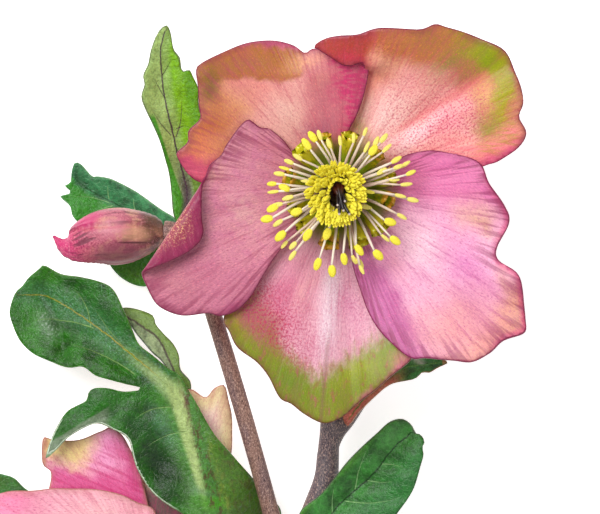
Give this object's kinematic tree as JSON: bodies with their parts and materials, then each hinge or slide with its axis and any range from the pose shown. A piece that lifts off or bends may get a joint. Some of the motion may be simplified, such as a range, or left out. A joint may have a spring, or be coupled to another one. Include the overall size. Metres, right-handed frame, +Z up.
{
  "type": "hellebore stem",
  "caption": "Cut hellebore stem lying on its back, with open dusky pink blooms facing up, closed buds and jagged green leaves.",
  "frame": {"origin": "centre of the footprint of the whole stem, on the surface it lies on", "axes": "+Z up from the surface, the way the blooms face; +Y along the stem from its cut end towards its tip"},
  "size_m": [0.1138, 0.183, 0.0368],
  "materials": {
    "stem_skin": "smooth plant stem, purple-grey, slightly waxy",
    "sepal_rose": "soft satin sepal, dusky pink with green and tan, fine darker veins",
    "leaf_green": "glossy leathery leaf, dark green with paler veins",
    "nectary_green": "waxy yellow-green",
    "stamen_yellow": "powdery cream and yellow",
    "pistil_red": "smooth, very dark red",
    "bud_rose": "soft satin, rose-purple shading to brown-green"
  },
  "bodies": {
    "root": {"stem": "stem_skin", "bloom_1_sepal_bottom": "sepal_rose", "bloom_1_sepal_top_right": "sepal_rose", "bloom_1_sepal_top_left": "sepal_rose", "bloom_1_sepal_right": "sepal_rose", "bloom_1_sepal_left": "sepal_rose", "bloom_1_nectaries": "nectary_green", "bloom_1_stamens": "stamen_yellow", "bloom_1_pistils": "pistil_red", "bloom_2_sepal_lower": "sepal_rose", "bloom_2_sepal_upper": "sepal_rose", "bloom_2_sepal_upper_left": "sepal_rose", "bloom_2_sepal_right": "sepal_rose", "bloom_2_sepal_left": "sepal_rose", "bloom_2_nectaries": "nectary_green", "bloom_2_stamens": "stamen_yellow", "bloom_2_pistils": "pistil_red", "bud_1": "bud_rose", "bud_2": "bud_rose", "leaf_large": "leaf_green", "leaf_upright": "leaf_green", "leaf_behind_bud": "leaf_green", "leaf_under_bloom_2": "leaf_green", "leaf_right": "leaf_green", "leaf_behind_bloom_1": "leaf_green"}
  },
  "joints": []
}
